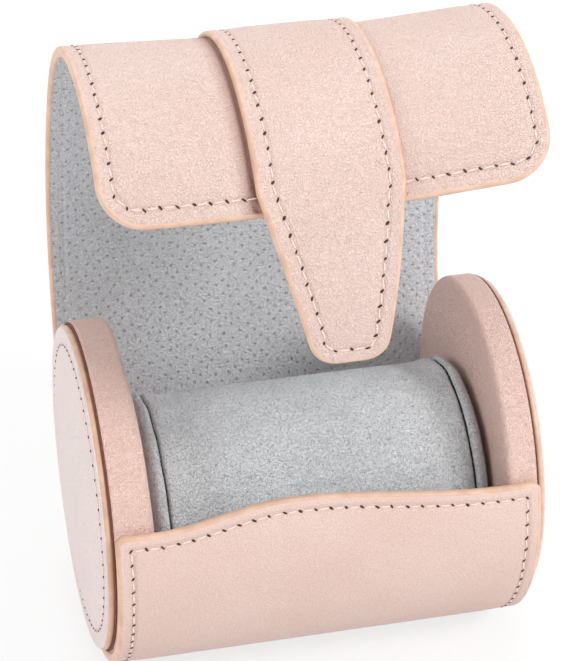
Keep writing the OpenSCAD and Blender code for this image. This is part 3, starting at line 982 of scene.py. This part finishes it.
def end_disc(side, word):
    """The disc's leather, soft at its inner edge, over the padding."""
    fuller = 2.6 if side < 0 else 0.3
    prof = [(r, BAND_X) for r in (POLE, 8, 16, 22, 26, 29, 31, 33, 34.2)]
    prof += arc(BAND_R - 1.7, BAND_X + 1.5, 1.7, 1.5, -90, 0, 10)
    prof += [(BAND_R, BAND_X + 3.4), (BAND_R, HALF - 0.9)]
    prof += arc(BAND_R - 0.7, HALF - 0.7, 0.7, 0.6, 0, 90, 4)
    prof += [(r, HALF - 0.1) for r in (BAND_R - 2, 20, POLE)]
    v, f = turned_solid(prof, side, lambda r, x, a: soft_disc(r, x, a, fuller))
    disc = make(f"{word}_disc_leather", v, f, [mat_disc])
    dress(disc, "blush_leather", CASE, f"{word}_disc_shell", f"{word}_disc_padding")


def cover_edge(side, word):
    """Painted edge of the cover: a D-shaped rim round it. The left cover's takes a darker copy of the
    paint, as painted shade.
    """
    inner_x = HALF + SKIN
    outer_x = COVER_TOP - 0.32
    prof = [(POLE, inner_x), (COVER_R - 1.2, inner_x)]
    prof += arc(COVER_R - 0.75, HALF + 0.87, 0.75, 0.85, -90, 90, 10)
    prof += [(COVER_R - 1.4, outer_x), (POLE, outer_x)]
    v, f = turned_solid(prof, side)
    rim = make(f"{word}_cover_edge", v, f, [mat_left_edge_shaded if side < 0 else mat_edge])
    dress(rim, "painted_edge", CASE, f"{word}_cover_back")


def cover_leather(side, word):
    """The cover's leather: a flat margin, a stitched groove, then a low padded dome."""
    prof = [(r, COVER_TOP - 0.5) for r in (POLE, 20.0, COVER_R - 1.6)]
    prof += arc(COVER_R - 0.95, COVER_TOP - 0.45, 0.6, 0.5, -60, 90, 6)
    for r in (36.4, 35.8, 35.0, 34.4, 34.0, 33.75, 33.5, 33.25, 33.0, 32.6, 32.0, 31.2, 30.0, 28.5, 26.5,
              24, 21, 18, 15, 12, 9, 6, 3, POLE):
        groove = -0.14 * exp(-((r - COVER_SEAM_R) / 0.45) ** 2)
        u = min(1.0, r / (COVER_SEAM_R - 0.2))
        dome = DOME_H * (0.75 * (1 - u ** 5) + 0.25 * (1 - u * u))
        prof.append((r, COVER_TOP + groove + dome))
    v, f = turned_solid(prof, side)
    cover = make(f"{word}_cover_leather", v, f, [mat_cover])
    dress(cover, "cover_leather", CASE, f"{word}_cover", f"{word}_cover_padding")


def cover_stitches(side, word):
    """Threads and holes round the cover, and a dark ring of painted shade in the crevice where it meets
    the disc.
    """
    pitch = 2 * pi / COVER_STITCHES
    pts, faces = small_ball(0.7)
    if side < 0:
        faces = [q[::-1] for q in faces]
    b = Build()
    for k in range(COVER_STITCHES):
        for half, mat, shift in ((COVER_THREAD, 0, 0.0), (COVER_HOLE, 1, 0.5)):
            along, across, up = (pts * half).T
            r = COVER_SEAM_R + across
            a = pitch * (k + shift) + along / COVER_SEAM_R
            x = side * (COVER_TOP + 0.03 + up)
            b.add(np.stack([x, r * np.cos(a), r * np.sin(a) + AXIS_Z], -1) * MM, faces, mat)
    # A dark ring of painted shade in the crevice between the cover and the disc.
    ring = [(BAND_R - 0.58 + 0.34 * cos(q), HALF + SKIN + 0.26 * sin(q))
            for q in circle(8)]
    b.add(lathe(ring, side), grid_faces(8, TURNS, 0, side > 0, True, True), 2)
    dress(b.make(f"{word}_cover_stitches", [mat_thread, mat_hole, mat_painted_shade]), "cover_leather", CASE)


for side, word in ((-1, "left"), (1, "right")):
    end_disc(side, word)
    cover_edge(side, word)
    cover_leather(side, word)
    cover_stitches(side, word)


# Pillow

RING = 160
RING_ANGLES = circle(RING)
SIM_FRAMES = 20
SWELL_MOST = 0.8
NAP_FIBRES = 6500
WAVES = 26


def pillow_profile():
    """(radius, distance along X) of the pillow's outside, and the number of its points to a seam."""
    cap = [(r, -PILLOW_END + 0.35 * (1 - (r / 26) ** 2)) for r in (POLE, 5, 10, 14, 18, 21, 23.5)]
    cap += arc(PILLOW_R - 3.9, -PILLOW_END + 2.5, 3.6, 2.5, -90, 0, 10)
    cap += [(PILLOW_R - 0.45, -SEAM_X - 0.55), (PILLOW_R - 0.95, -SEAM_X - 0.22), (PILLOW_R - 1.9, -SEAM_X)]
    dists = [0.22, 0.5, 0.85, 1.3, 1.9, 2.7] + [float(d) for d in np.linspace(3.6, SEAM_X, 30)]
    half = []
    for d in dists:
        x = -SEAM_X + d
        u = abs(x) / SEAM_X
        half.append((PILLOW_R - 0.1 - 0.6 * u ** 5 - 1.3 * exp(-(d / 0.42) ** 2), x))
    left = cap + half
    return np.array(left + [(r, -x) for r, x in left[-2::-1]]), len(cap)


PROFILE, SEAM_RING = pillow_profile()
RINGS = len(PROFILE)
PILLOW_SEAMS = (SEAM_RING - 1, RINGS - SEAM_RING)


def ruffled():
    """Points of the pillow before its filling swells: uneven, most of all near its seams."""
    rng = np.random.default_rng(7)
    r = PROFILE[:, :1] * np.ones(RING)
    x = PROFILE[:, 1:] * np.ones(RING)
    noise = 0
    for _ in range(WAVES):
        k = rng.integers(2, 19)
        p = rng.uniform(0, 2 * pi)
        w = rng.uniform(20, 70)
        q = rng.uniform(0, 2 * pi)
        noise = noise + np.sin(k * RING_ANGLES + p + 0.8 * np.sin(x / w + q))
    near_seam = np.exp(-((SEAM_X - np.abs(x)) / 5.0) ** 2)
    r = r + noise / WAVES * (0.25 + 0.55 * near_seam) * (r > 20)
    verts = np.stack([x + PILLOW_X, r * np.cos(RING_ANGLES) + PILLOW_Y,
                      r * np.sin(RING_ANGLES) + AXIS_Z + PILLOW_Z], -1)
    return verts.reshape(-1, 3) * MM


def settle(verts):
    """How air pressure swells the pillow between its seams, by SWELL_MOST at most."""
    ob = make("pillow_sim", verts, tube_faces(RINGS, RING), [mat_pillow])
    group = ob.vertex_groups.new(name="pin")
    group.add([i * RING + j for i in PILLOW_SEAMS for j in range(RING)], 1.0, "REPLACE")
    cloth = ob.modifiers.new("Cloth", "CLOTH")
    c = cloth.settings
    c.use_pressure = True
    c.uniform_pressure_force = 3.0
    c.vertex_group_mass = "pin"
    c.effector_weights.gravity = 0.0
    c.tension_stiffness = 12.0
    c.compression_stiffness = 6.0
    c.bending_stiffness = 0.15
    c.shrink_min = -0.035
    c.quality = 5
    cloth.point_cache.frame_start = 1
    cloth.point_cache.frame_end = SIM_FRAMES
    for f in range(1, SIM_FRAMES + 1):
        scene.frame_set(f)
    got = np.empty(len(verts) * 3, np.float32)
    posed = ob.evaluated_get(bpy.context.evaluated_depsgraph_get())
    posed.data.vertices.foreach_get("co", got)
    scene.frame_set(1)
    me = ob.data
    bpy.data.objects.remove(ob)
    bpy.data.meshes.remove(me)
    move = got.reshape(-1, 3).astype(float) - verts
    far = np.linalg.norm(move, axis=1)[:, None]
    return move * np.minimum(1, SWELL_MOST * MM / np.maximum(far, 1e-9))


def pillow_points():
    """The pillow's points by ring. It stays in the space of the CAD pillow, apart from its top."""
    verts = ruffled()
    # The seams stay sharp grooves, and the ends keep their rolled edge.
    from_seam = np.repeat(SEAM_X - np.abs(PROFILE[:, 1]), RING)[:, None]
    share = np.where(from_seam > 0, 0.1 + 0.9 * smooth01((from_seam - 0.8) / 6), 0.25)
    verts = verts + settle(verts) * share
    rel = verts - PILLOW_CENTRE
    rad = np.hypot(rel[:, 1], rel[:, 2])
    rel[:, 1:] *= np.minimum(1.0, (PILLOW_R - SKIN) * MM / np.maximum(rad, 1e-9))[:, None]
    rel[:, 0] = np.clip(rel[:, 0], -PILLOW_END * MM, PILLOW_END * MM)
    # The filling stands up over the lip: the upper half is slightly taller than round.
    rel[:, 2] += 1.2 * MM * np.clip(rel[:, 2] / (PILLOW_R * MM), 0, 1) ** 1.5
    return (rel + PILLOW_CENTRE).reshape(RINGS, RING, 3)


def pillow_part(name, first, last, *nodes):
    """One sewn piece of the pillow, from its first ring to the one before last."""
    ob = make(name, points[first:last].reshape(-1, 3), tube_faces(last - first, RING), [mat_pillow])
    dress(ob, "grey_suede", PILLOW, *nodes)


def pillow_seam_shadows():
    """A thin dark line of painted shadow in each of the pillow's two seams, uneven as a sewn seam is."""
    b = Build()
    for i in PILLOW_SEAMS:
        tube = []
        for at, angle in zip(points[i], RING_ANGLES):
            out = (at - PILLOW_CENTRE) * (0, 1, 1)
            out /= np.linalg.norm(out)
            thick = 0.32 + 0.10 * sin(9 * angle + i) * sin(23 * angle)
            tube += [at + ((0.55 + thick * cos(a)) * out + (thick * sin(a), 0, 0)) * MM
                     for a in circle(8)]
        b.add(tube, grid_faces(RING, 8, 0, False, True, True))
    dress(b.make("pillow_seam_shadows", [mat_seam_shadow]), "grey_suede", PILLOW)


def pillow_nap():
    """Short loose fibres of the suede's nap, which soften the pillow's outline."""
    rng = np.random.default_rng(21)
    n = NAP_FIBRES
    weight = np.hypot(*np.diff(PROFILE, axis=0).T) * (PROFILE[:-1, 0] > 22)
    i = rng.choice(RINGS - 1, n, p=weight / weight.sum())
    j = rng.integers(0, RING, n)
    u, w = rng.uniform(0, 1, (2, n, 1))
    along = points[i + 1, j] - points[i, j]
    across = points[i, (j + 1) % RING] - points[i, j]
    root = points[i, j] + along * u + across * w
    way = np.cross(across, along)
    way /= np.linalg.norm(way, axis=1)[:, None]
    way *= np.sign(((root - PILLOW_CENTRE) * way * (0.3, 1, 1)).sum(1))[:, None]
    lean = rng.normal(0, 0.75, (n, 3))
    tip = way + lean - way * (lean * way).sum(1)[:, None]
    tip = root + tip * rng.uniform(0.30, 0.85, (n, 1)) * MM
    side_a = np.cross(way, lean)
    side_a /= np.linalg.norm(side_a, axis=1)[:, None]
    side_b = np.cross(way, side_a)
    base = [root - 0.1 * MM * way + 0.075 * MM * (side_a * cos(q) + side_b * sin(q))
            for q in (0, 2 * pi / 3, 4 * pi / 3)]
    faces = []
    for q in range(0, 4 * n, 4):
        faces += [(q, q + 2, q + 1), (q, q + 1, q + 3), (q + 1, q + 2, q + 3), (q + 2, q, q + 3)]
    nap = make("pillow_nap", np.stack(base + [tip], 1).reshape(-1, 3), faces, [mat_pillow])
    dress(nap, "grey_suede", PILLOW)


points = pillow_points()
pillow_part("pillow_left_end", 0, SEAM_RING, "pillow_left_cap")
pillow_part("pillow_body", SEAM_RING - 1, RINGS - SEAM_RING + 1, "pillow_sleeve", "pillow_core")
pillow_part("pillow_right_end", RINGS - SEAM_RING, RINGS, "pillow_right_cap")
pillow_seam_shadows()
pillow_nap()


# CAD nodes that stay

for node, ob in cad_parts.items():
    if "board" in node:
        mat = mat_board
    elif node in ("catch_plate", "strap_magnet"):
        mat = mat_steel
    else:
        mat = mat_foam
    ob.data.materials.clear()
    ob.data.materials.append(mat)


# Floor, light and camera

WHITE = (1, 1, 1, 1)


def studio_floor():
    """A white floor that the camera sees nearly as bright as the background, with soft shadows."""
    bpy.ops.mesh.primitive_plane_add(size=6.0, location=(0, 0, -0.0001))
    floor = bpy.context.object
    floor.name = "studio_floor"
    mat = bpy.data.materials.new("studio_white")
    m = Nodes(mat)
    diffuse = m.fill("ShaderNodeBsdfDiffuse", {"Color": (0.9, 0.9, 0.9, 1)})
    glow = m.fill("ShaderNodeEmission", {"Color": WHITE})
    share = m.math("MULTIPLY", m.seen_directly(), 0.76)
    both = m.fill("ShaderNodeMixShader", {0: share, 1: diffuse.outputs[0], 2: glow.outputs[0]})
    m.link(both.outputs[0], m.out.inputs[0])
    floor.data.materials.append(mat)


def studio_world():
    """White all round: full white to the camera, and softer as a light."""
    world = bpy.data.worlds.new("studio")
    scene.world = world
    m = Nodes(world, "ShaderNodeOutputWorld")
    light = m.fill("ShaderNodeBackground", {0: WHITE, 1: 0.68})
    backdrop = m.fill("ShaderNodeBackground", {0: WHITE, 1: 1.0})
    both = m.fill("ShaderNodeMixShader",
                  {0: m.seen_directly(), 1: light.outputs[0], 2: backdrop.outputs[0]})
    m.link(both.outputs[0], m.out.inputs[0])


def lamp(name, place_at, size, power):
    """A round lamp aimed at the middle of the part."""
    data = bpy.data.lights.new(name, "AREA")
    data.shape = "DISK"
    data.size = size
    data.energy = power
    ob = add_object(name, data)
    ob.location = place_at
    aim = Vector((0, 0, 0.07)) - Vector(place_at)
    ob.rotation_euler = aim.to_track_quat("-Z", "Y").to_euler()


def photo_camera():
    """The photograph's camera, as fitted to the part."""
    data = bpy.data.cameras.new("photo_camera")
    cam = add_object("photo_camera", data)
    right = (0.9738, -0.2276, -0.0004)
    up = (0.1183, 0.5046, 0.8552)
    back = (-0.1944, -0.8328, 0.5183)
    at = Matrix((right, up, back)).transposed().to_4x4()
    at.translation = Vector((-123.32, -522.18, 401.06)) * MM
    cam.matrix_world = at
    data.sensor_width = 36.0
    data.lens = 149.13
    data.clip_start = 0.05
    data.clip_end = 20.0
    scene.camera = cam


studio_floor()
studio_world()
lamp("key", (0.86, -0.78, 0.94), 0.45, 11.6)
lamp("side", (-1.3, -0.35, 0.75), 0.9, 5.8)
lamp("top", (0.0, 0.6, 1.3), 1.0, 6.0)
photo_camera()
scene.view_settings.view_transform = "Standard"
